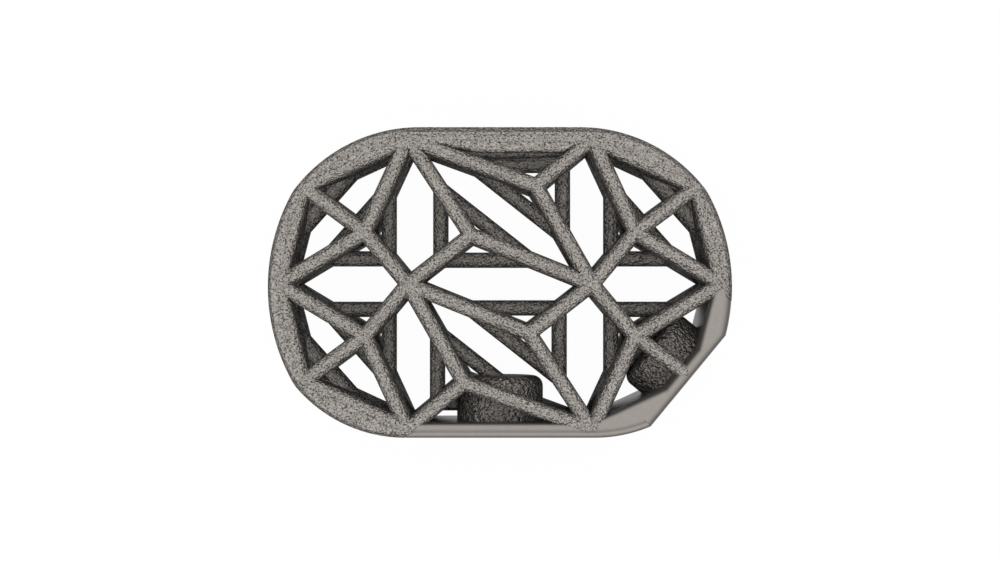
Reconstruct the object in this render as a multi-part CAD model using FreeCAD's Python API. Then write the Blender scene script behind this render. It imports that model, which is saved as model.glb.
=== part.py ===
import FreeCAD, Part
import math
import os
from FreeCAD import Vector

# Spinal interbody cage for the front approach: one titanium body, printed in one go.
# Two webs of round struts, one above the other, are tied by crossed braces and bars at half height.
# A flat rim runs round both webs. The front and one front corner close to a solid wall that is
# machined smooth and holds two threaded sockets for the inserter.
# Millimetres. X is the patient's width, +Y is the rear of the cage, +Z is up.
# The origin is under the middle of the outline, on the face that the cage rests on.

# Envelope
cage_width = 39.0
cage_depth = 26.1
cage_height = 12.0

# Outline: straight rear and front edges, an arc at each corner and one at each end.
# A corner arc turns by its angle in degrees and meets the end arc at the shoulder.
rear_flat_width = 13.44
front_flat_width = 15.9
rear_corner_turn = 53.4
front_corner_turn = 50.7
rear_shoulder_from_end = 2.13
front_shoulder_from_end = 2.23
shoulder_radius = 5.0

# Struts
strut_diameter = 1.34

# Joints of the rim, measured in from the outline
end_joint_inset = 0.9
rear_joint_inset = 1.0
front_joint_inset = 0.7
joint_row_width = 15.5
corner_joint_from_end = 3.0
corner_joint_behind_row = 4.05

# Apex joints stand off the middle of their three feet by these small shifts
side_apex_outward = 0.29
low_apex_right = 0.13
low_apex_outward = 0.05
high_apex_right = 0.44
high_apex_outward = 0.14

# The rim's struts stay this far inside the outline
chord_skin = 0.05

# Flat rim
rim_thickness = 1.2
rim_edge_radius = 0.25
rear_rim_width = 2.04
rim_overlap = 0.3

# Smooth insertion wall, from just past one front joint to just before the right end joint
wall_past_front_joint = 0.2
wall_before_end_joint = 1.1
chord_into_wall = 2.2
wall_behind_chord = 0.6
wall_at_chamfer = 1.35
wall_outer_radius = 0.2
wall_inner_radius = 0.35

# Flat chamfer across the right front corner, a little inside that corner's joint
chamfer_angle = 39.5
chamfer_behind_joint = 0.53
strut_end_behind_chamfer = 1.02

# Threaded sockets
socket_diameter = 7.4
socket_end_radius = 0.9
front_socket_length = 5.05
oblique_socket_length = 4.14
socket_end_in_wall = 0.6
socket_cap = 0.95
thread_bore_diameter = 4.2
bore_mouth_bevel = 0.4
bore_clear = 0.5

# Two flat things closer than this count as one
flat_tolerance = 1e-4

strut_radius = strut_diameter / 2
upper_web = cage_height - strut_radius
lower_web = strut_radius
middle_height = cage_height / 2
half_width = cage_width / 2
half_depth = cage_depth / 2
rear_row = half_depth - rear_joint_inset
front_row = -half_depth + front_joint_inset
lattice_middle = (rear_row + front_row) / 2
chamfer_joint = Vector(half_width - corner_joint_from_end, front_row + corner_joint_behind_row, 0)
chamfer_normal = Vector(math.cos(math.radians(chamfer_angle)), -math.sin(math.radians(chamfer_angle)), 0)
chamfer_distance = chamfer_joint.dot(chamfer_normal) - chamfer_behind_joint


def at_height(point, height):
    return Vector(point.x, point.y, height)


def halfway(a, b):
    return (a + b) * 0.5


def line_crossing(a, b, c, d):
    """Point where the line through a and b crosses the line through c and d, in plan."""
    u = b - a
    v = d - c
    w = c - a
    share = (w.x * v.y - w.y * v.x) / (u.x * v.y - u.y * v.x)
    return a + u * share


def shifted_line(a, b, distance):
    """The line a-b moved sideways to its left by distance."""
    along = (b - a).normalize()
    side = Vector(-along.y, along.x, 0) * distance
    return a + side, b + side


def corner_circle(flat_end, shoulder):
    """Centre and radius of the circle tangent to the flat edge at flat_end that reaches the shoulder."""
    run = abs(shoulder.x - flat_end.x)
    drop = abs(flat_end.y - shoulder.y)
    radius = (run * run + drop * drop) / (2 * drop)
    inward = math.copysign(radius, -flat_end.y)
    return Vector(flat_end.x, flat_end.y + inward, 0), radius


def end_circle(rear_shoulder, tip, front_shoulder):
    """Centre and radius of the circle through three points."""
    circle = Part.Circle(rear_shoulder, tip, front_shoulder)
    return circle.Center, circle.Radius


def rounding_points(circle, end, shoulder):
    """Start, middle and end of the small arc that eases the corner circle into the end circle."""
    first = Part.Circle(circle[0], Vector(0, 0, 1), circle[1] - shoulder_radius)
    second = Part.Circle(end[0], Vector(0, 0, 1), end[1] - shoulder_radius)
    meetings = [Vector(p.X, p.Y, 0) for p in first.intersect(second)]
    centre = min(meetings, key=lambda p: p.distanceToPoint(shoulder))
    on_corner = circle[0] + (centre - circle[0]).normalize() * circle[1]
    on_end = end[0] + (centre - end[0]).normalize() * end[1]
    middle = centre + (halfway(on_corner, on_end) - centre).normalize() * shoulder_radius
    return on_corner, middle, on_end


def quarter_edges(flat_end, shoulder, end, tip):
    """Outline from the end of a flat edge round the corner and the shoulder to the tip."""
    circle = corner_circle(flat_end, shoulder)
    on_corner, middle, on_end = rounding_points(circle, end, shoulder)
    corner_middle = circle[0] + (halfway(flat_end, on_corner) - circle[0]).normalize() * circle[1]
    end_middle = end[0] + (halfway(on_end, tip) - end[0]).normalize() * end[1]
    return [Part.Arc(flat_end, corner_middle, on_corner).toShape(),
            Part.Arc(on_corner, middle, on_end).toShape(),
            Part.Arc(on_end, end_middle, tip).toShape()]


def shoulder_point(flat_end, tip_x, from_end, turn):
    """Where the corner arc that starts at flat_end and turns by that angle reaches the end arc."""
    run = abs(tip_x - flat_end.x) - from_end
    drop = run * math.tan(math.radians(turn / 2))
    return Vector(flat_end.x + math.copysign(run, tip_x), flat_end.y - math.copysign(drop, flat_end.y), 0)


def outline_wire(inset):
    """Closed outer outline of the cage, before the chamfer, moved in by inset."""
    rear = half_depth - inset
    front = -half_depth + inset
    edges = []
    for side in (-1, 1):
        tip_x = side * (half_width - inset)
        rear_end = Vector(side * rear_flat_width / 2, rear, 0)
        front_end = Vector(side * front_flat_width / 2, front, 0)
        rear_shoulder = shoulder_point(rear_end, tip_x, rear_shoulder_from_end, rear_corner_turn)
        front_shoulder = shoulder_point(front_end, tip_x, front_shoulder_from_end, front_corner_turn)
        tip = Vector(tip_x, (rear_shoulder.y + front_shoulder.y) / 2, 0)
        end = end_circle(rear_shoulder, tip, front_shoulder)
        edges += quarter_edges(rear_end, rear_shoulder, end, tip)
        edges += quarter_edges(front_end, front_shoulder, end, tip)
    for width, y in ((rear_flat_width, rear), (front_flat_width, front)):
        edges.append(Part.makeLine(Vector(-width / 2, y, 0), Vector(width / 2, y, 0)))
    return Part.Wire(Part.__sortEdges__(edges))


def lattice_joints():
    """Plan positions of the joints of a web, by name."""
    joints = {}
    for side, sx in (("left", -1), ("right", 1)):
        joints["end_" + side] = Vector(sx * (half_width - end_joint_inset), lattice_middle, 0)
        joints["hub_" + side] = Vector(sx * joint_row_width / 2, lattice_middle, 0)
        for row, y, toward_middle in (("rear", rear_row, -1), ("front", front_row, 1)):
            joints[row + "_" + side] = Vector(sx * joint_row_width / 2, y, 0)
            joints[row + "_" + side + "_corner"] = Vector(
                sx * (half_width - corner_joint_from_end),
                y + toward_middle * corner_joint_behind_row, 0)
    return joints


def web_cells(joints):
    """Adds the apex joints. Each cell is an apex, the three feet round it and any further foot."""
    cells = []

    def add_cell(apex, feet, further, shift):
        joints[apex] = (joints[feet[0]] + joints[feet[1]] + joints[feet[2]]) * (1 / 3) + shift
        cells.append((apex, feet, further))
    for row, outward in (("rear", 1), ("front", -1)):
        for side in ("left", "right"):
            add_cell(row + "_" + side + "_apex", [row + "_" + side, "hub_" + side, "end_" + side],
                     [row + "_" + side + "_corner"], Vector(0, outward * side_apex_outward, 0))
    for row, near, far, turn in (("rear", "left", "right", 1), ("front", "right", "left", -1)):
        add_cell(row + "_low_apex", [row + "_" + near, "hub_" + near, "hub_" + far], [],
                 Vector(low_apex_right, low_apex_outward, 0) * turn)
        add_cell(row + "_high_apex", [row + "_" + near, row + "_" + far, "hub_" + far], [],
                 Vector(high_apex_right, high_apex_outward, 0) * turn)
    return cells


def strut(start, end):
    """Round strut between two joint centres."""
    along = end - start
    return Part.makeCylinder(strut_radius, along.Length, start, along)


def crossed_braces(a, b):
    """The two diagonals that cross at half height under the line from joint a to joint b."""
    return [strut(at_height(a, upper_web), at_height(b, lower_web)),
            strut(at_height(b, upper_web), at_height(a, lower_web))]


def shortened_for_chamfer(a, b):
    """Where the strut from a towards b stops behind the chamfer face."""
    along = b - a
    reach = chamfer_distance - strut_end_behind_chamfer
    share = (reach - a.dot(chamfer_normal)) / along.dot(chamfer_normal)
    return a + along * share


def lattice(joints, cells):
    """Struts, braces and half-height bars of all cells."""
    solids = []
    for apex, feet, further in cells:
        for foot in feet + further:
            for level in (upper_web, lower_web):
                solids.append(strut(at_height(joints[apex], level), at_height(joints[foot], level)))
            solids += crossed_braces(joints[apex], joints[foot])
        middles = [at_height(halfway(joints[apex], joints[foot]), middle_height) for foot in feet]
        for k in range(3):
            solids.append(strut(middles[k], middles[(k + 1) % 3]))
    return solids


def rim_panels():
    """Names of the joints at the two ends of each panel of the rim, and whether it is open."""
    return [("rear_left", "rear_right", True),
            ("rear_left", "rear_left_corner", True), ("rear_left_corner", "end_left", True),
            ("end_left", "front_left_corner", True), ("front_left_corner", "front_left", True),
            ("rear_right", "rear_right_corner", True), ("rear_right_corner", "end_right", True),
            ("front_left", "front_right", False)]


def rim_struts(joints):
    """Rim chords, the crossed braces of the open panels, their bars and the chord ends in the wall."""
    solids = []
    for first, second, is_open in rim_panels():
        for level in (upper_web, lower_web):
            solids.append(strut(at_height(joints[first], level), at_height(joints[second], level)))
        if is_open:
            solids += crossed_braces(joints[first], joints[second])
    for row, side in (("rear", "left"), ("front", "left"), ("rear", "right")):
        corner = joints[row + "_" + side + "_corner"]
        one = halfway(joints[row + "_" + side], corner)
        other = halfway(corner, joints["end_" + side])
        solids.append(strut(at_height(one, middle_height), at_height(other, middle_height)))
    end = joints["end_right"]
    tail = end + (joints["front_right_corner"] - end).normalize() * chord_into_wall
    for level in (upper_web, lower_web):
        solids.append(strut(at_height(end, level), at_height(tail, level)))
    within = Part.Face(outline_wire(chord_skin)).extrude(Vector(0, 0, cage_height))
    return [solid.common(within).Solids[0] for solid in solids]


def level_edges(shape, heights, keep):
    """Edges that lie level at one of the heights and whose middle passes the test keep."""
    found = []
    for edge in shape.Edges:
        box = edge.BoundBox
        level = any(abs(box.ZMin - h) < flat_tolerance and abs(box.ZMax - h) < flat_tolerance for h in heights)
        if level and keep(edge.valueAt((edge.FirstParameter + edge.LastParameter) / 2)):
            found.append(edge)
    return found


def outline_block(low, high, edge_radius, chamfered):
    """Solid slab inside the outline, with its upper and lower edges rounded."""
    block = Part.Face(outline_wire(0)).extrude(Vector(0, 0, high - low))
    block.translate(Vector(0, 0, low))
    if chamfered:
        block = block.cut(beyond_chamfer()).Solids[0]
    return block.makeFillet(edge_radius, level_edges(block, (low, high), lambda point: True))


def beyond_chamfer():
    """Everything outside the chamfer face."""
    block = Part.makeBox(cage_width, 2 * cage_width, 3 * cage_height, Vector(0, -cage_width, -cage_height))
    block.rotate(Vector(0, 0, 0), Vector(0, 0, 1), -chamfer_angle)
    block.translate(chamfer_normal * chamfer_distance)
    return block


def prism(corners, low, high):
    """Upright solid over a closed outline of straight sides."""
    face = Part.Face(Part.makePolygon(corners + [corners[0]]))
    face.translate(Vector(0, 0, low))
    return face.extrude(Vector(0, 0, high - low))


def wall_sector(joints, overlap):
    """The front and right front region that the smooth wall takes, grown by overlap."""
    left = joints["front_left"].x - wall_past_front_joint - overlap
    rear = joints["end_right"].y - wall_before_end_joint + overlap
    return Part.makeBox(cage_width, cage_depth, 3 * cage_height, Vector(left, rear - cage_depth, -cage_height))


def rim(joints, low):
    """One flat rim plate, from the chords out to the outline, without the smooth wall's stretch."""
    names = ["rear_right", "rear_right_corner", "end_right", "front_right_corner", "front_right",
             "front_left", "front_left_corner", "end_left", "rear_left_corner", "rear_left"]
    inner_rear = half_depth - rear_rim_width
    corners = [Vector(joint_row_width / 2, inner_rear, 0)]
    corners += [joints[name] for name in names]
    corners += [Vector(-joint_row_width / 2, inner_rear, 0)]
    high = low + rim_thickness
    ring = outline_block(low, high, rim_edge_radius, False)
    ring = ring.cut(prism(corners, low - rim_thickness, high + rim_thickness))
    return ring.cut(wall_sector(joints, -rim_overlap)).Solids[0]


def wall_inside(joints):
    """Corners of the wall's inner side: along the chords, and parallel to the chamfer between them."""
    front_left = joints["front_left"]
    front_right = joints["front_right"]
    corner = joints["front_right_corner"]
    end = joints["end_right"]
    front = shifted_line(front_left, front_right, wall_behind_chord)
    front_side = shifted_line(front_right, corner, wall_behind_chord)
    end_side = shifted_line(corner, end, wall_behind_chord)
    across = Vector(-chamfer_normal.y, chamfer_normal.x, 0)
    behind = chamfer_normal * (chamfer_distance - wall_at_chamfer)
    start = front[0] - (front[1] - front[0])
    finish = end_side[1] + (end_side[1] - end_side[0])
    return [start,
            line_crossing(front[0], front[1], front_side[0], front_side[1]),
            line_crossing(front_side[0], front_side[1], behind, behind + across),
            line_crossing(end_side[0], end_side[1], behind, behind + across),
            finish, Vector(start.x, finish.y, 0)]


def smooth_wall(joints):
    """Solid wall along the front and round the chamfered corner, from the lower rim to the upper."""
    low = lower_web - rim_thickness / 2
    high = upper_web + rim_thickness / 2
    corners = wall_inside(joints)
    wall = outline_block(low, high, wall_outer_radius, True)
    wall = wall.cut(prism(corners, low - rim_thickness, high + rim_thickness))
    wall = wall.common(wall_sector(joints, 0)).Solids[0]
    sides = Part.makePolygon(corners)

    def on_inside(point):
        return sides.distToShape(Part.Vertex(at_height(point, 0)))[0] < flat_tolerance
    return wall.makeFillet(wall_inner_radius, level_edges(wall, (low, high), on_inside))


def socket(inner_end, outward, length):
    """Round boss from its rounded inner end outwards; it stops inside the wall."""
    boss = Part.makeCylinder(socket_diameter / 2, length - socket_end_in_wall, inner_end, outward)
    inner_edges = [edge for edge in boss.Edges
                   if edge.Closed and (edge.BoundBox.Center - inner_end).Length < flat_tolerance]
    return boss.makeFillet(socket_end_radius, inner_edges)


def thread_bore(mouth, outward, depth):
    """Blind bore with a bevelled mouth, cut from the outer face inwards."""
    inward = outward * -1
    bore = Part.makeCylinder(thread_bore_diameter / 2, depth + bore_clear, mouth + outward * bore_clear, inward)
    mouth_radius = thread_bore_diameter / 2 + bore_mouth_bevel
    bevel = Part.makeCone(mouth_radius + bore_clear, thread_bore_diameter / 2,
                          bore_mouth_bevel + bore_clear, mouth + outward * bore_clear, inward)
    return bore.fuse(bevel)


def socket_axes():
    """Mouth centre, outward direction and length of both sockets."""
    front_mouth = Vector(0, -half_depth, middle_height)
    oblique_mouth = at_height(chamfer_joint, middle_height) - chamfer_normal * chamfer_behind_joint
    return [(front_mouth, Vector(0, -1, 0), front_socket_length),
            (oblique_mouth, chamfer_normal, oblique_socket_length)]


def main():
    joints = lattice_joints()
    cells = web_cells(joints)
    corner = joints["front_right_corner"]
    truss_joints = dict(joints)
    truss_joints["front_right_corner"] = shortened_for_chamfer(joints["front_right_apex"], corner)
    solids = lattice(truss_joints, cells) + rim_struts(joints)
    for low in (lower_web - rim_thickness / 2, upper_web - rim_thickness / 2):
        solids.append(rim(joints, low))
    solids.append(smooth_wall(joints))
    for mouth, outward, length in socket_axes():
        solids.append(socket(mouth - outward * length, outward, length))
    body = solids[0].multiFuse(solids[1:])
    for mouth, outward, length in socket_axes():
        body = body.cut(thread_bore(mouth, outward, length - socket_cap))
    os.makedirs("parts", exist_ok=True)
    body.exportStep("parts/truss_cage.step")
    print("truss_cage", len(body.Solids), "solid", body.isValid(), round(body.Volume, 1), "mm3")


main()
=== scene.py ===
import bmesh
import bpy
import math
import numpy as np
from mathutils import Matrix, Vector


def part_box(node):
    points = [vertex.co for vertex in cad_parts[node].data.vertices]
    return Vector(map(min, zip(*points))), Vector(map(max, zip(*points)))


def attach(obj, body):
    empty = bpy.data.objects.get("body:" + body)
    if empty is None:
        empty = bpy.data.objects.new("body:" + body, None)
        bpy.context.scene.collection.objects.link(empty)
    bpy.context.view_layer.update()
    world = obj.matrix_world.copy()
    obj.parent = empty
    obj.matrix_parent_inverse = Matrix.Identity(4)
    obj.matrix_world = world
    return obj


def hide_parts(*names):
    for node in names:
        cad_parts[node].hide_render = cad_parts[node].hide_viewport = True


# Spinal interbody cage: a printed titanium truss between two flat rims, closed at the front and at
# one front corner by a machined wall with two threaded sockets.
# The cage's lengths are in millimetres and its angles in degrees, unless a note says radians. Meshes,
# materials and the studio are in metres.

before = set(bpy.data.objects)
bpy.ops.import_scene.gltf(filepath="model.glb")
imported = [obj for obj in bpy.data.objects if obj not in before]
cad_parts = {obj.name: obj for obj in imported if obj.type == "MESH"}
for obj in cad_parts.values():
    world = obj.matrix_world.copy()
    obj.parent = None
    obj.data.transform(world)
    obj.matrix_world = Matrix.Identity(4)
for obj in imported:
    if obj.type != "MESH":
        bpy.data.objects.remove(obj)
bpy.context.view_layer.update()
mm = 0.001
cageNode = "truss_cage"
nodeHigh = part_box(cageNode)[1]
cage = {
    "halfWidth": nodeHigh.x / mm,
    "halfDepth": nodeHigh.y / mm,
    "height": nodeHigh.z / mm,
}
print("frame loaded, cage", {key: round(value, 2) for key, value in cage.items()})


# Meshes

steepAxis = 0.9


def gridFaces(rows, columns):
    # Quads of a grid whose columns close on themselves; point (i, j) is number i * columns + j.
    i, j = np.meshgrid(np.arange(rows - 1), np.arange(columns), indexing="ij")
    here = i * columns + j
    beside = i * columns + (j + 1) % columns
    return np.stack([here, beside, beside + columns, here + columns], -1).reshape(-1, 4)


def tube(name, rings):
    # Rings of points, in millimetres, joined one to the next and closed by a flat face at each end.
    rows, columns = rings.shape[:2]
    count = rows * columns
    ends = [np.arange(columns)[::-1].tolist(), np.arange(count - columns, count).tolist()]
    points = (rings.reshape(-1, 3) * mm).tolist()
    mesh = bpy.data.meshes.new(name)
    mesh.from_pydata(points, [], gridFaces(rows, columns).tolist() + ends)
    return bpy.data.objects.new(name, mesh)


def turned(name, start, along, reach, radius, around):
    # Point j of ring k lies at start + reach[k] * axis + radius[k, j] * (cos * side + sin * other);
    # a radius with one column holds for the whole ring.
    axis = along / np.linalg.norm(along)
    side = np.cross([0, 0, 1] if abs(axis[2]) < steepAxis else [1, 0, 0], axis)
    side = side / np.linalg.norm(side)
    turn = np.linspace(0, 2 * math.pi, around, endpoint=False)[:, None]
    circle = np.cos(turn) * side + np.sin(turn) * np.cross(axis, side)
    return tube(name, start + reach[:, None, None] * axis + radius[:, :, None] * circle)


def combined(name, operation, parts):
    # The first part united with, cut by or kept inside all the others; every part is closed.
    group = bpy.data.collections.new(name + "Parts")
    bpy.context.scene.collection.children.link(group)
    for part in parts[1:]:
        group.objects.link(part)
    base = parts[0]
    bpy.context.scene.collection.objects.link(base)
    modifier = base.modifiers.new("combine", "BOOLEAN")
    modifier.operation = operation
    modifier.operand_type = "COLLECTION"
    modifier.collection = group
    modifier.solver = "MANIFOLD"
    evaluated = base.evaluated_get(bpy.context.evaluated_depsgraph_get())
    mesh = bpy.data.meshes.new_from_object(evaluated)
    for part in parts:
        bpy.data.objects.remove(part)
    bpy.data.collections.remove(group)
    return bpy.data.objects.new(name, mesh)


# Joints of the truss

joints = {
    "endInset": 0.9,
    "rearInset": 1.0,
    "frontInset": 0.7,
    "rowWidth": 15.5,
    "cornerFromEnd": 3.0,
    "cornerBehindRow": 4.05,
    "sideApexOut": 0.29,
    "lowApexShift": (0.13, 0.05),
    "highApexShift": (0.44, 0.14),
}


def jointPlan(s):
    rear = cage["halfDepth"] - s["rearInset"]
    front = -cage["halfDepth"] + s["frontInset"]
    middle = (rear + front) / 2
    plan = {}
    for side, sx in (("Left", -1), ("Right", 1)):
        plan["end" + side] = (sx * (cage["halfWidth"] - s["endInset"]), middle)
        plan["hub" + side] = (sx * s["rowWidth"] / 2, middle)
        for row, y, inward in (("rear", rear, -1), ("front", front, 1)):
            plan[row + side] = (sx * s["rowWidth"] / 2, y)
            plan[row + side + "Corner"] = (sx * (cage["halfWidth"] - s["cornerFromEnd"]),
                                           y + inward * s["cornerBehindRow"])
    plan = {name: np.array(place) for name, place in plan.items()}
    cells = []

    def addCell(apex, feet, more, shift):
        # The apex lies near the middle of its three feet; more holds further joints it reaches.
        plan[apex] = sum(plan[foot] for foot in feet) / 3 + np.array(shift)
        cells.append((apex, feet, more))

    for row, outward in (("rear", 1), ("front", -1)):
        for side in ("Left", "Right"):
            feet = [row + side, "hub" + side, "end" + side]
            addCell(row + side + "Apex", feet, [row + side + "Corner"],
                    (0, outward * s["sideApexOut"]))
    for row, near, far, turn in (("rear", "Left", "Right", 1), ("front", "Right", "Left", -1)):
        lowFeet = [row + near, "hub" + near, "hub" + far]
        highFeet = [row + near, row + far, "hub" + far]
        addCell(row + "LowApex", lowFeet, [], turn * np.array(s["lowApexShift"]))
        addCell(row + "HighApex", highFeet, [], turn * np.array(s["highApexShift"]))
    return plan, cells


plan, cells = jointPlan(joints)


# Struts; capFrom is in radians

struts = {
    "radius": 0.67,
    "around": 28,
    "capRows": 5,
    "capFrom": 0.12,
    "behindChamfer": 0.82,
    "insideOutline": 0.05,
    "insideLip": 0.64,
    "outlineSteps": 400,
}
levels = {
    "upper": cage["height"] - struts["radius"],
    "lower": struts["radius"],
    "middle": cage["height"] / 2,
}
chamfer = {"angle": 39.5, "behindJoint": 0.53}
chamferTurn = math.radians(chamfer["angle"])
chamferOut = np.array([math.cos(chamferTurn), -math.sin(chamferTurn)])
chamferReach = plan["frontRightCorner"] @ chamferOut - chamfer["behindJoint"]


def raised(place, level):
    return np.array([place[0], place[1], levels[level]])


def strut(start, end):
    # A tube with a half ball at each end: full * sin(latitude) over the caps, full between them.
    full = struts["radius"]
    length = np.linalg.norm(end - start)
    latitude = np.linspace(struts["capFrom"], math.pi / 2, struts["capRows"])
    reach = np.r_[-np.cos(latitude), length / full + np.cos(latitude[::-1])] * full
    radius = np.r_[np.sin(latitude), np.sin(latitude[::-1])] * full
    return turned("strut", start, end - start, reach, radius[:, None], struts["around"])


def crossed(a, b):
    return [strut(raised(high, "upper"), raised(low, "lower")) for high, low in ((a, b), (b, a))]


def doubled(a, b):
    return [strut(raised(a, level), raised(b, level)) for level in ("upper", "lower")]


def trussParts():
    # The struts to the front right corner stop behind the chamfer, inside the wall.
    tip, corner = plan["frontRightApex"], plan["frontRightCorner"]
    behind = chamferReach - struts["behindChamfer"]
    share = (behind - tip @ chamferOut) / ((corner - tip) @ chamferOut)
    ends = dict(plan, frontRightCorner=tip + (corner - tip) * share)
    parts = []
    for apex, feet, more in cells:
        for foot in feet + more:
            parts += doubled(ends[apex], ends[foot]) + crossed(ends[apex], ends[foot])
        halfway = [raised((ends[apex] + ends[foot]) / 2, "middle") for foot in feet]
        parts += [strut(halfway[k], halfway[(k + 1) % 3]) for k in range(3)]
    return parts


def rimParts():
    chain = ["frontLeft", "frontLeftCorner", "endLeft", "rearLeftCorner", "rearLeft", "rearRight",
             "rearRightCorner", "endRight"]
    parts = []
    for first, second in zip(chain, chain[1:]):
        parts += doubled(plan[first], plan[second]) + crossed(plan[first], plan[second])
    for row, side in (("rear", "Left"), ("front", "Left"), ("rear", "Right")):
        corner = plan[row + side + "Corner"]
        parts.append(strut(raised((plan[row + side] + corner) / 2, "middle"),
                           raised((corner + plan["end" + side]) / 2, "middle")))
    return parts


# Outline and rims, as distances from the middle along rays; leastAngle is in radians

outline = {
    "rearFlat": 13.44,
    "frontFlat": 15.9,
    "rearTurn": 53.4,
    "frontTurn": 50.7,
    "rearFromEnd": 2.13,
    "frontFromEnd": 2.23,
    "easing": 12,
    "samples": 4000,
    "leastCosine": 0.05,
}


def shoulders(sx):
    # Where the corner arcs of one side meet its end arc; the chord of an arc that turns by t falls
    # by tan(t / 2) times its run.
    found = []
    for row, y in (("rear", cage["halfDepth"]), ("front", -cage["halfDepth"])):
        flat = outline[row + "Flat"] / 2
        run = cage["halfWidth"] - outline[row + "FromEnd"] - flat
        drop = run * math.tan(math.radians(outline[row + "Turn"] / 2))
        point = np.array([sx * (flat + run), y - math.copysign(drop, y)])
        found.append((np.array([sx * flat, y]), point))
    return found


def circleThrough(a, b, c):
    # The centre is equally far from all three points, which gives two linear equations.
    centre = np.linalg.solve(2 * np.array([b - a, c - a]), np.array([b @ b - a @ a, c @ c - a @ a]))
    return centre, np.linalg.norm(a - centre)


def outlineRays(inset):
    # Each ray's distance to the outline moved in by inset: the outline is where the flat edges, the
    # corner circles and the end circles all still hold the point, so the least distance counts.
    angle = np.linspace(-math.pi, math.pi, outline["samples"], endpoint=False)
    ray = np.stack([np.cos(angle), np.sin(angle)], -1)

    def toCircle(centre, radius):
        along = ray @ centre
        return along + np.sqrt(np.maximum(along ** 2 - centre @ centre + (radius - inset) ** 2, 0))

    with np.errstate(divide="ignore"):
        best = (cage["halfDepth"] - inset) / np.abs(ray[:, 1])
    for sx in (-1, 1):
        ends = shoulders(sx)
        for edge, point in ends:
            run, drop = np.abs(point - edge)
            radius = (run ** 2 + drop ** 2) / (2 * drop)
            reach = toCircle(edge - [0, math.copysign(radius, edge[1])], radius)
            sameRow = ray[:, 1] * edge[1] > 0
            pastFlat = sx * ray[:, 0] * abs(edge[1]) > abs(edge[0]) * np.abs(ray[:, 1])
            best = np.where(sameRow & pastFlat, np.minimum(best, reach), best)
        rear, front = ends[0][1], ends[1][1]
        tip = np.array([sx * cage["halfWidth"], (rear[1] + front[1]) / 2])
        reach = toCircle(*circleThrough(rear, tip, front))
        best = np.where(sx * ray[:, 0] > 0, np.minimum(best, reach), best)
    window = 2 * outline["easing"] + 1
    around = np.r_[best[-window:], best, best[:window]]
    smooth = np.convolve(around, np.ones(window) / window, "same")[window:-window]
    return angle, np.minimum(smooth, best)


def outlineAt(angles, inset):
    # The inset may differ from point to point: reach = at 0 + inset * (at 1 mm - at 0).
    angle, wide = outlineRays(0.0)
    narrow = outlineRays(1.0)[1]
    wide = np.interp(angles, angle, wide, period=2 * math.pi)
    narrow = np.interp(angles, angle, narrow, period=2 * math.pi)
    return wide + (narrow - wide) * inset


def lineAt(angles, a, b, inward):
    # Distance along each ray to the line through a and b, moved in by inward; without end for rays
    # that hardly near the line.
    along = (b - a) / np.linalg.norm(b - a)
    normal = np.array([along[1], -along[0]])
    normal = normal * np.sign(normal @ a)
    cosine = np.cos(angles) * normal[0] + np.sin(angles) * normal[1]
    least = outline["leastCosine"]
    return np.where(cosine > least, (normal @ a - inward) / np.maximum(cosine, least), np.inf)


def chamferAt(angles, inward):
    return (chamferReach - inward) / np.cos(angles + chamferTurn)


def eased(value, start, stop):
    # From 0 at start to 1 at stop: x * x * (3 - 2 * x).
    share = np.clip((value - start) / (stop - start), 0, 1)
    return share * share * (3 - 2 * share)


def quarterRound(count):
    # How far across and how far down from the corner the points of a unit quarter circle lie.
    turn = np.linspace(0, math.pi / 2, count)
    return 1 - np.cos(turn), 1 - np.sin(turn)


def band(name, angles, reach, height, middle):
    # A section carried round the cage, in rings of constant station. The upper half is given from
    # the outside inwards; its mirror image comes first, so that all faces look outwards.
    reach = np.concatenate([reach, reach[:, ::-1]], 1)
    angles = np.concatenate([angles, angles[:, ::-1]], 1)
    height = np.concatenate([-height, height[:, ::-1]], 1) + middle
    rings = np.stack([reach * np.cos(angles), reach * np.sin(angles), height], -1)
    return tube(name, rings)


rim = {
    "thickness": 1.18,
    "rearWidth": 2.18,
    "rearStart": 1.08,
    "leftStep": 5.7,
    "rightStep": 1.9,
    "sideInset": (0.0, 0.03, 0.22, 0.27, 0.34),
    "sideDrop": (0.45, 0.33, 0.09, 0.04, 0.0),
    "rearInset": (0.0, 0.01, 0.44, 0.62, 0.80),
    "rearDrop": (0.58, 0.58, 0.07, 0.03, 0.02),
    "rightWider": 0.28,
    "sideInnerRadius": 0.02,
    "rearInnerRadius": 0.42,
    "rearFrom": 9.2,
    "rearTo": 7.4,
    "rightFull": 0.8,
    "slantOnBevel": 0.3,
    "leastAngle": 0.1,
    "innerPoints": 6,
    "stations": 700,
}
seam = {"front": -121.6, "frontSlant": 1.8, "right": -4.5, "rightSlant": 3.0, "over": 8}
rimChain = ["endRight", "rearRightCorner", "rearRight", "rearLeft", "rearLeftCorner", "endLeft",
            "frontLeftCorner", "frontLeft", "frontRight"]


def rearInward(angles):
    # The rear band grows wider from each of its joints inwards: slowly on the left, along a strut.
    least = rim["leastAngle"]
    place = plan["rearLeft"][1] / np.tan(np.clip(angles, least, math.pi - least))
    fromLeft = (place - plan["rearLeft"][0]) / rim["leftStep"]
    fromRight = (plan["rearRight"][0] - place) / rim["rightStep"]
    share = np.clip(np.minimum(fromLeft, fromRight), 0, 1)
    return rim["rearStart"] + (rim["rearWidth"] - rim["rearStart"]) * share - joints["rearInset"]


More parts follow.
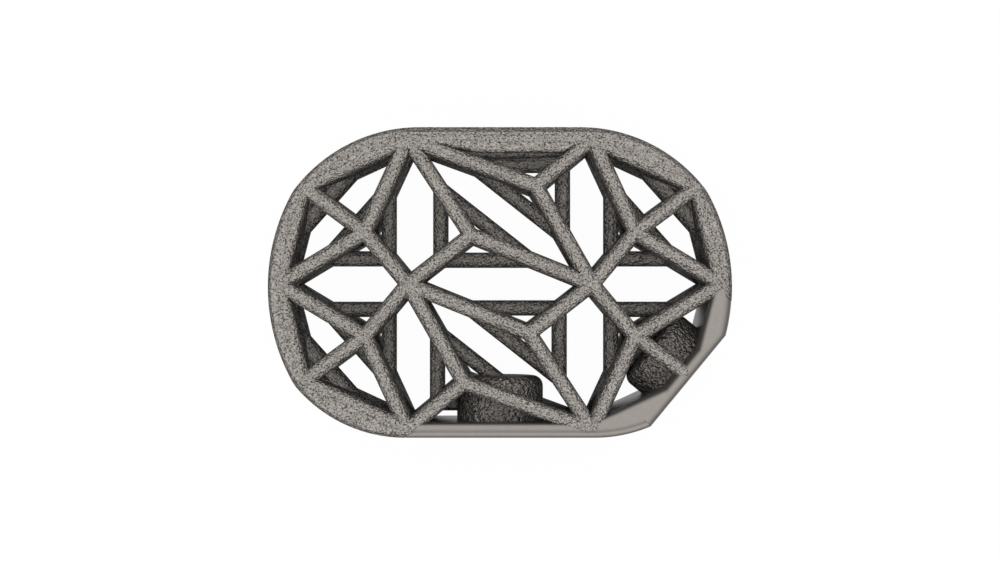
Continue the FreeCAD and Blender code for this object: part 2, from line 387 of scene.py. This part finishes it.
def rimBand(level):
    # A bevelled outer edge and a rounded inner one, both wider at the rear. Both ends run aslant,
    # by a share of the slant that grows over the bevel and is whole on the inner side.
    base = np.linspace(seam["right"], 360 + seam["front"], rim["stations"])[:, None]
    slant = np.clip(1 - (base - base[0]) / seam["over"], 0, 1) * seam["rightSlant"]
    slant = slant + np.clip(1 - (base[-1] - base) / seam["over"], 0, 1) * seam["frontSlant"]
    across, down = quarterRound(rim["innerPoints"])
    count = len(rim["sideInset"])
    share = np.r_[np.linspace(0, rim["slantOnBevel"], count), np.ones(len(across))]
    angles = np.radians(base + slant * share)
    fromMiddle = np.abs(outlineAt(angles, 0) * np.cos(angles))
    rear = eased(fromMiddle, rim["rearFrom"], rim["rearTo"]) * (np.sin(angles) > 0)
    outside = rear[:, :count]
    right = eased(np.cos(angles[:, :count]), 0, rim["rightFull"])
    wider = (1 - outside) * (1 + rim["rightWider"] * right)
    inset = np.array(rim["sideInset"]) * wider + np.array(rim["rearInset"]) * outside
    drop = np.array(rim["sideDrop"]) * wider + np.array(rim["rearDrop"]) * outside
    inside = rear[:, count:]
    radius = rim["sideInnerRadius"] * (1 - inside) + rim["rearInnerRadius"] * inside
    outer = outlineAt(angles[:, :count], inset)
    inner = np.full(radius.shape, np.inf)
    innerAngles = angles[:, count:]
    for a, b in zip(rimChain, rimChain[1:]):
        inward = rearInward(innerAngles) if (a, b) == ("rearRight", "rearLeft") else 0
        side = lineAt(innerAngles, plan[a], plan[b], inward - radius * across[::-1])
        inner = np.minimum(inner, side)
    sunk = rim["rearDrop"][-1] * inside
    height = rim["thickness"] / 2 - np.concatenate([drop, sunk + radius * down[::-1]], 1)
    return band("rimBand", angles, np.concatenate([outer, inner], 1), height, levels[level])


# Insertion wall; edgeGap is in radians

wall = {
    "front": -121.35,
    "right": -1.1,
    "drop": 0.10,
    "behindFront": 0.55,
    "behindSide": 0.66,
    "atChamfer": 1.2,
    "lipRadius": 0.34,
    "lipInset": (0.42, 0.53, 0.62, 0.72, 0.86),
    "lipDrop": (0.06, 0.11, 0.06, 0.025, 0.0),
    "chamferRadius": 0.68,
    "rightRadius": 0.8,
    "frontInnerRadius": 0.34,
    "cornerInnerRadius": 0.54,
    "cornerInnerDepth": 1.5,
    "innerFrom": -66,
    "innerTo": -48,
    "lipPoints": 7,
    "edgeGap": 1e-5,
    "stations": 360,
}
wallChain = ["frontLeft", "frontRight", "frontRightCorner", "endRight"]


def chamferEnds(angles):
    # The two angles where the chamfer meets the outline.
    gap = chamferAt(angles, 0) - outlineAt(angles, 0)
    change = np.flatnonzero(np.diff(np.sign(gap)))
    share = gap[change] / (gap[change] - gap[change + 1])
    return angles[change] + share * (angles[change + 1] - angles[change])


def wallBand():
    # In front, a rounded edge, a low lip and a crest; at the chamfer and to its right, one wide
    # rounding. Two stations stand close together at each edge of the chamfer.
    angles = np.radians(np.linspace(wall["front"], wall["right"], wall["stations"]))
    ends = chamferEnds(angles)
    angles = np.sort(np.r_[angles, ends - wall["edgeGap"], ends + wall["edgeGap"]])[:, None]
    across, down = quarterRound(wall["lipPoints"])
    frontInset = np.r_[across * wall["lipRadius"], wall["lipInset"]]
    frontDrop = np.r_[down * wall["lipRadius"] + wall["lipDrop"][0], wall["lipDrop"]]
    across, down = quarterRound(len(frontInset))
    wide = wall["chamferRadius"]
    chamferOuter = chamferAt(angles, across * wide)
    front = np.broadcast_to(angles < ends.mean(), (len(angles), len(across)))
    outer = outlineAt(angles, np.where(front, frontInset, across * wall["rightRadius"]))
    drop = np.where(front, frontDrop, down * wall["rightRadius"])
    onChamfer = chamferAt(angles, 0) < outlineAt(angles, 0)
    outer = np.where(onChamfer, chamferOuter, outer)
    drop = np.where(onChamfer, down * wide, drop)
    share = eased(np.degrees(angles), wall["innerFrom"], wall["innerTo"])
    radius = wall["frontInnerRadius"] * (1 - share) + wall["cornerInnerRadius"] * share
    depth = radius * (1 - share + wall["cornerInnerDepth"] * share)
    inward = radius * across[::-1]
    inner = chamferAt(angles, wall["atChamfer"] - inward)
    for a, b in zip(wallChain, wallChain[1:]):
        behind = wall["behindFront"] if a == "frontLeft" else wall["behindSide"]
        inner = np.minimum(inner, lineAt(angles, plan[a], plan[b], behind - inward))
    reach = np.concatenate([outer, inner], 1)
    height = levels["middle"] - wall["drop"] - np.concatenate([drop, depth * down[::-1]], 1)
    return band("wallBand", np.broadcast_to(angles, reach.shape), reach, height, levels["middle"])


def insideOutline():
    # An upright block that trims the struts just inside the outline, and inside the wall's lip.
    angle = np.linspace(-math.pi, math.pi, struts["outlineSteps"], endpoint=False)
    lip = (np.degrees(angle) > seam["front"] + seam["over"]) & (np.degrees(angle) < wall["innerTo"])
    reach = outlineAt(angle, np.where(lip, struts["insideLip"], struts["insideOutline"]))
    ring = np.stack([reach * np.cos(angle), reach * np.sin(angle), 0 * angle], -1)
    ends = np.array([-1.0, cage["height"] + 1])
    return tube("insideOutline", ring + ends[:, None, None] * [0, 0, 1])


# Sockets

sockets = {
    "radius": 3.7,
    "endRadius": 0.9,
    "frontLength": 5.05,
    "obliqueLength": 4.14,
    "endInWall": 0.6,
    "cap": 0.95,
    "boreRadius": 2.1,
    "threadDepth": 0.36,
    "threadPitch": 0.8,
    "flankSlope": 1.25,
    "rootFlat": 0.12,
    "runOutLength": 0.5,
    "runOutBefore": 0.6,
    "bevel": 0.42,
    "clear": 0.5,
    "skin": 0.02,
    "around": 96,
    "endPoints": 9,
    "rowsInPitch": 10,
}


def socketAxes():
    # Mouth, outward direction and length of the front socket and of the one in the chamfer.
    front = np.array([0, -cage["halfDepth"]])
    oblique = plan["frontRightCorner"] - chamferOut * chamfer["behindJoint"]
    return [(raised(front, "middle"), np.array([0.0, -1, 0]), sockets["frontLength"]),
            (raised(oblique, "middle"), np.r_[chamferOut, 0], sockets["obliqueLength"])]


def boss(mouth, outward, length):
    # A cylinder whose inner end runs round a quarter circle to a flat face.
    across, down = quarterRound(sockets["endPoints"])
    reach = np.r_[across * sockets["endRadius"], length - sockets["endInWall"]]
    radius = np.r_[sockets["radius"] - down * sockets["endRadius"], sockets["radius"]]
    start = mouth - outward * length
    return turned("boss", start, outward, reach, radius[:, None], sockets["around"])


def tap(mouth, outward, depth):
    # A screw: radius = bore + thread depth * triangle wave of (reach / pitch - turn), with the tips
    # of the wave cut flat, a cone at the mouth and a plain end.
    around = sockets["around"]
    pitch = sockets["threadPitch"]
    reach = np.arange(-sockets["clear"], depth, pitch / sockets["rowsInPitch"])
    wave = np.abs((reach[:, None] / pitch - np.arange(around) / around) % 1 * 2 - 1)
    profile = np.clip(sockets["flankSlope"] * wave - sockets["rootFlat"], 0, 1)
    runOut = np.clip((depth - sockets["runOutBefore"] - reach) / sockets["runOutLength"], 0, 1)
    radius = sockets["boreRadius"] + sockets["threadDepth"] * profile * runOut[:, None]
    cone = sockets["boreRadius"] + sockets["bevel"] - reach
    return turned("tap", mouth, -outward, reach, np.maximum(radius, cone[:, None]), around)


# Shader node groups and materials

def nodeMaker(tree):
    def make(kind, **values):
        node = tree.nodes.new(kind)
        for key, value in values.items():
            setattr(node, key, value)
        return node
    return make


def ramp(tree, make, source, low, high, toLow=0.0, toHigh=1.0):
    # The source from low to high becomes toLow to toHigh, and stays at these beyond them.
    node = make("ShaderNodeMapRange")
    for index, value in ((1, low), (2, high), (3, toLow), (4, toHigh)):
        node.inputs[index].default_value = value
    tree.links.new(source, node.inputs[0])
    return node.outputs[0]


def newGroup(name, inputs, outputs):
    # A shader group with its sockets; an input given as None is a vector.
    tree = bpy.data.node_groups.new(name, "ShaderNodeTree")
    for key, value in inputs.items():
        kind = "NodeSocketVector" if value is None else "NodeSocketFloat"
        socket = tree.interface.new_socket(key, in_out="INPUT", socket_type=kind)
        if value is not None:
            socket.default_value = value
    for key in outputs:
        tree.interface.new_socket(key, in_out="OUTPUT", socket_type="NodeSocketFloat")
    make = nodeMaker(tree)
    return tree, make, make("NodeGroupInput"), make("NodeGroupOutput")


powder = {
    "fineDetail": 2.0,
    "wideDetail": 1.0,
    "noiseRoughness": 0.6,
    "speckRange": (0.40, 0.66),
    "pitShadeRange": (0.43, 0.33),
}


def grainGroup(s):
    # Fused powder: fine grains over wider lumps as a height, and masks of specks and of sparse pits
    # where the fine grain is lowest; the pit mask carries painted shade in those hollows.
    inputs = {"Vector": None, "Grain Size": 0.00015, "Lump Size": 0.0005, "Lump Share": 1.6}
    tree, make, start, finish = newGroup("powderGrain", inputs, ["Height", "Speck", "Pit Shade"])

    def noise(size, detail):
        rate = make("ShaderNodeMath", operation="DIVIDE")
        rate.inputs[0].default_value = 1.0
        tree.links.new(start.outputs[size], rate.inputs[1])
        node = make("ShaderNodeTexNoise", noise_dimensions="3D")
        node.inputs["Detail"].default_value = detail
        node.inputs["Roughness"].default_value = s["noiseRoughness"]
        tree.links.new(start.outputs["Vector"], node.inputs["Vector"])
        tree.links.new(rate.outputs[0], node.inputs["Scale"])
        return node.outputs["Fac"]

    fine = noise("Grain Size", s["fineDetail"])
    wide = noise("Lump Size", s["wideDetail"])
    mix = make("ShaderNodeMath", operation="MULTIPLY_ADD")
    tree.links.new(wide, mix.inputs[0])
    tree.links.new(start.outputs["Lump Share"], mix.inputs[1])
    tree.links.new(fine, mix.inputs[2])
    tree.links.new(mix.outputs[0], finish.inputs["Height"])
    tree.links.new(ramp(tree, make, fine, *s["speckRange"]), finish.inputs["Speck"])
    tree.links.new(ramp(tree, make, fine, *s["pitShadeRange"]), finish.inputs["Pit Shade"])


def paintedShadeTiltGroup():
    # How far a surface tilts away from facing straight up or straight down: 0 level, 1 upright. It
    # places the painted shade on the sides and sets their roughness.
    inputs = {"Normal": None, "Level": 0.97, "Upright": 0.5}
    tree, make, start, finish = newGroup("tiltForPaintedShadeAndRoughness", inputs, ["Slope"])
    split = make("ShaderNodeSeparateXYZ")
    size = make("ShaderNodeMath", operation="ABSOLUTE")
    span = make("ShaderNodeMapRange")
    tree.links.new(start.outputs["Normal"], split.inputs[0])
    tree.links.new(split.outputs["Z"], size.inputs[0])
    tree.links.new(size.outputs[0], span.inputs[0])
    tree.links.new(start.outputs["Level"], span.inputs[1])
    tree.links.new(start.outputs["Upright"], span.inputs[2])
    tree.links.new(span.outputs[0], finish.inputs["Slope"])


# The upright-face colors below are painted shade: darker copies of the level colors, as if light from
# above left the sides in shade. The pit color is painted shade in the grain's hollows.
printed = {
    "levelColor": (0.315, 0.292, 0.268, 1),
    "paintedShadeColor": (0.036, 0.033, 0.030, 1),
    "levelSpeck": (0.66, 0.62, 0.575, 1),
    "paintedShadeSpeck": (0.17, 0.158, 0.146, 1),
    "pitShadeColor": (0.016, 0.015, 0.014, 1),
    "speckShare": 0.75,
    "pitShadeShare": 0.85,
    "metallic": 0.5,
    "roughness": 0.55,
    "sideRoughness": 0.6,
    "specular": 0.3,
    "edgeTint": (0.75, 0.75, 0.75, 1),
    "level": 0.975,
    "upright": 0.62,
    "grainSize": 0.00016,
    "lumpSize": 0.00026,
    "lumpShare": 1.8,
    "bumpDistance": 0.00012,
    "bumpStrength": 1.0,
}
castBoss = dict(printed, lumpSize=0.00034, lumpShare=3.0, bumpDistance=0.00014)
# As above, the upright-face colors are painted shade, darker copies of the level colors; the pit
# color is a faint painted shade in hollows.
machined = {
    "levelColor": (0.310, 0.287, 0.264, 1),
    "paintedShadeColor": (0.098, 0.091, 0.084, 1),
    "levelSpeck": (0.345, 0.32, 0.295, 1),
    "paintedShadeSpeck": (0.112, 0.104, 0.096, 1),
    "pitShadeColor": (0.28, 0.26, 0.24, 1),
    "speckShare": 0.5,
    "pitShadeShare": 0.05,
    "metallic": 0.5,
    "roughness": 0.34,
    "sideRoughness": 0.4,
    "specular": 0.4,
    "edgeTint": (0.85, 0.85, 0.85, 1),
    "level": 0.998,
    "upright": 0.7,
    "grainSize": 0.0004,
    "lumpSize": 0.003,
    "lumpShare": 1.0,
    "bumpDistance": 0.000006,
    "bumpStrength": 0.3,
}


mixSockets = {"low": 6, "high": 7, "result": 2}


def colorMix(tree, make, factor, low, high):
    # Each color is a tuple or the output of another node.
    node = make("ShaderNodeMix", data_type="RGBA")
    tree.links.new(factor, node.inputs[0])
    for key, value in (("low", low), ("high", high)):
        socket = node.inputs[mixSockets[key]]
        if isinstance(value, tuple):
            socket.default_value = value
        else:
            tree.links.new(value, socket)
    return node.outputs[mixSockets["result"]]


def titanium(name, s):
    # Level faces have the metal's color and a color for specks; upright faces get darker copies of
    # both, painted shade as if light came only from above, blended by tilt with the grain's bumps
    # included. Painted shade in pits lies over both.
    material = bpy.data.materials.new(name)
    material.use_nodes = True
    tree = material.node_tree
    tree.nodes.clear()
    make = nodeMaker(tree)
    shader = make("ShaderNodeBsdfPrincipled")
    shader.inputs["Metallic"].default_value = s["metallic"]
    shader.inputs["Specular IOR Level"].default_value = s["specular"]
    shader.inputs["Specular Tint"].default_value = s["edgeTint"]
    output = make("ShaderNodeOutputMaterial")
    tree.links.new(shader.outputs[0], output.inputs[0])
    grain = make("ShaderNodeGroup", node_tree=bpy.data.node_groups["powderGrain"])
    tree.links.new(make("ShaderNodeTexCoord").outputs["Object"], grain.inputs["Vector"])
    grain.inputs["Grain Size"].default_value = s["grainSize"]
    grain.inputs["Lump Size"].default_value = s["lumpSize"]
    grain.inputs["Lump Share"].default_value = s["lumpShare"]
    bump = make("ShaderNodeBump")
    bump.inputs["Strength"].default_value = s["bumpStrength"]
    bump.inputs["Distance"].default_value = s["bumpDistance"]
    tree.links.new(grain.outputs["Height"], bump.inputs["Height"])
    tree.links.new(bump.outputs[0], shader.inputs["Normal"])
    slope = make("ShaderNodeGroup", node_tree=bpy.data.node_groups["tiltForPaintedShadeAndRoughness"])
    tree.links.new(bump.outputs[0], slope.inputs["Normal"])
    slope.inputs["Level"].default_value = s["level"]
    slope.inputs["Upright"].default_value = s["upright"]
    rough = ramp(tree, make, slope.outputs["Slope"], 0, 1, s["roughness"], s["sideRoughness"])
    tree.links.new(rough, shader.inputs["Roughness"])
    specks = ramp(tree, make, grain.outputs["Speck"], 0, 1, 0, s["speckShare"])
    pitShade = ramp(tree, make, grain.outputs["Pit Shade"], 0, 1, 0, s["pitShadeShare"])
    level = colorMix(tree, make, specks, s["levelColor"], s["levelSpeck"])
    paintedShadeMix = colorMix(tree, make, specks, s["paintedShadeColor"], s["paintedShadeSpeck"])
    # Painted shade: the more a face tilts from level, the more its color turns to the darker upright
    # copy.
    color = colorMix(tree, make, slope.outputs["Slope"], level, paintedShadeMix)
    # Painted shade in pits, over level and upright faces alike.
    tree.links.new(colorMix(tree, make, pitShade, color, s["pitShadeColor"]), shader.inputs["Base Color"])
    return material


grainGroup(powder)
paintedShadeTiltGroup()
printedTitanium = titanium("printedTitanium", printed)
bossTitanium = titanium("bossTitanium", castBoss)
machinedTitanium = titanium("machinedTitanium", machined)
print("materials")


# Pieces

surface = {"weld": 0.0002, "trussSharp": 26, "wallSharp": 24}


def finished(piece, materials, sharpAngle):
    # Points nearer than the weld are joined, so that no sliver is left where struts meet. Edges that
    # turn by more than sharpAngle stay sharp.
    bpy.context.scene.collection.objects.link(piece)
    mesh = piece.data
    work = bmesh.new()
    work.from_mesh(mesh)
    bmesh.ops.remove_doubles(work, verts=work.verts, dist=surface["weld"] * mm)
    work.to_mesh(mesh)
    work.free()
    mesh.materials.clear()
    for material in materials:
        mesh.materials.append(material)
    mesh.polygons.foreach_set("use_smooth", np.ones(len(mesh.polygons), bool))
    mesh.set_sharp_from_angle(angle=math.radians(sharpAngle))
    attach(piece, "root")
    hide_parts(cageNode)
    print(piece.name, len(mesh.vertices), "points", len(mesh.polygons), "faces")


def socketFaces(mesh, mouth, outward, length):
    # For each face the index of its material: 1 on the side and the inner end of the boss, 2 in the
    # threaded bore, 0 elsewhere.
    margin = sockets["skin"]
    middle = np.empty(len(mesh.polygons) * 3)
    mesh.polygons.foreach_get("center", middle)
    away = middle.reshape(-1, 3) / mm - mouth
    along = away @ outward
    radius = np.linalg.norm(away - along[:, None] * outward, axis=1)
    side = np.abs(radius - sockets["radius"]) < margin
    end = (np.abs(along + length) < sockets["endRadius"] + margin) & (radius < sockets["radius"])
    onBoss = (side | end) & (along > -length - margin)
    inBore = radius < sockets["boreRadius"] + sockets["bevel"] + margin
    inBore &= along > sockets["cap"] - length - margin
    return np.where(along < 0, np.where(inBore, 2, onBoss), 0)


axes = socketAxes()


def taps():
    return [tap(mouth, outward, length - sockets["cap"]) for mouth, outward, length in axes]


lattice = combined("lattice", "UNION", trussParts() + rimParts())
lattice = combined("lattice", "INTERSECT", [lattice, insideOutline()])
bosses = [boss(*axis) for axis in axes]
truss = combined("truss", "UNION", [lattice, rimBand("upper"), rimBand("lower")] + bosses)
printedTruss = combined("printedTruss", "DIFFERENCE", [truss] + taps())
insertionWall = combined("insertionWall", "DIFFERENCE", [wallBand()] + taps())
finished(printedTruss, [printedTitanium, bossTitanium, machinedTitanium], surface["trussSharp"])
finished(insertionWall, [machinedTitanium], surface["wallSharp"])
faceMaterials = sum(socketFaces(printedTruss.data, *axis) for axis in axes)
printedTruss.data.polygons.foreach_set("material_index", faceMaterials.astype(np.int32))
print("pieces")


# Floor, lights and camera

studio = {
    "floorSize": 4.0,
    "floorColor": (0.9, 0.9, 0.9, 1),
    "floorShare": 0.975,
    "worldColor": (1, 1, 1, 1),
    "worldStrength": 0.9,
    "lampSize": 2.0,
    "lampHeight": 1.0,
    "lampPower": 8.3,
}


def shownWhite(tree, make, share):
    # The share of plain white in what the camera, the gloss and any clear surface see.
    rays = make("ShaderNodeLightPath")
    total = rays.outputs["Is Camera Ray"]
    for name in ("Is Glossy Ray", "Is Transmission Ray"):
        add = make("ShaderNodeMath", operation="ADD", use_clamp=True)
        tree.links.new(total, add.inputs[0])
        tree.links.new(rays.outputs[name], add.inputs[1])
        total = add.outputs[0]
    scale = make("ShaderNodeMath", operation="MULTIPLY")
    scale.inputs[1].default_value = share
    tree.links.new(total, scale.inputs[0])
    return scale.outputs[0]


def floorMaterial(s):
    material = bpy.data.materials.new("paleFloor")
    material.use_nodes = True
    tree = material.node_tree
    tree.nodes.clear()
    make = nodeMaker(tree)
    plain = make("ShaderNodeBsdfDiffuse")
    plain.inputs[0].default_value = s["floorColor"]
    white = make("ShaderNodeEmission")
    mix = make("ShaderNodeMixShader")
    output = make("ShaderNodeOutputMaterial")
    tree.links.new(shownWhite(tree, make, s["floorShare"]), mix.inputs[0])
    tree.links.new(plain.outputs[0], mix.inputs[1])
    tree.links.new(white.outputs[0], mix.inputs[2])
    tree.links.new(mix.outputs[0], output.inputs[0])
    return material


def makeFloor(s):
    half = s["floorSize"] / 2
    corners = [(-half, -half, 0), (half, -half, 0), (half, half, 0), (-half, half, 0)]
    mesh = bpy.data.meshes.new("floor")
    mesh.from_pydata(corners, [], [(0, 1, 2, 3)])
    floor = bpy.data.objects.new("floor", mesh)
    bpy.context.scene.collection.objects.link(floor)
    mesh.materials.append(floorMaterial(s))


def makeWorld(s):
    world = bpy.data.worlds.new("studio")
    bpy.context.scene.world = world
    world.use_nodes = True
    tree = world.node_tree
    tree.nodes.clear()
    make = nodeMaker(tree)
    soft = make("ShaderNodeBackground")
    soft.inputs[0].default_value = s["worldColor"]
    soft.inputs[1].default_value = s["worldStrength"]
    white = make("ShaderNodeBackground")
    mix = make("ShaderNodeMixShader")
    output = make("ShaderNodeOutputWorld")
    tree.links.new(shownWhite(tree, make, 1.0), mix.inputs[0])
    tree.links.new(soft.outputs[0], mix.inputs[1])
    tree.links.new(white.outputs[0], mix.inputs[2])
    tree.links.new(mix.outputs[0], output.inputs[0])


def makeLamp(s):
    light = bpy.data.lights.new("softBox", "AREA")
    light.shape = "SQUARE"
    light.size = s["lampSize"]
    light.energy = s["lampPower"]
    lamp = bpy.data.objects.new("softBox", light)
    lamp.location = (0, 0, s["lampHeight"])
    lamp.visible_glossy = False
    bpy.context.scene.collection.objects.link(lamp)


view = {
    "nearHeight": 198.4,
    "toRear": 0.118,
    "lens": 85.0,
    "sensorWidth": 36.0,
    "clipStart": 0.01,
    "clipEnd": 20.0,
}


def makeCamera(s):
    # Straight above the cage, at nearHeight over the upper web.
    data = bpy.data.cameras.new("camera")
    data.lens = s["lens"]
    data.sensor_width = s["sensorWidth"]
    data.clip_start = s["clipStart"]
    data.clip_end = s["clipEnd"]
    camera = bpy.data.objects.new("camera", data)
    camera.location = (0, s["toRear"] * mm, (levels["upper"] + s["nearHeight"]) * mm)
    bpy.context.scene.collection.objects.link(camera)
    bpy.context.scene.camera = camera


makeFloor(studio)
makeWorld(studio)
makeLamp(studio)
makeCamera(view)
bpy.context.scene.view_settings.view_transform = "Standard"
print("studio")
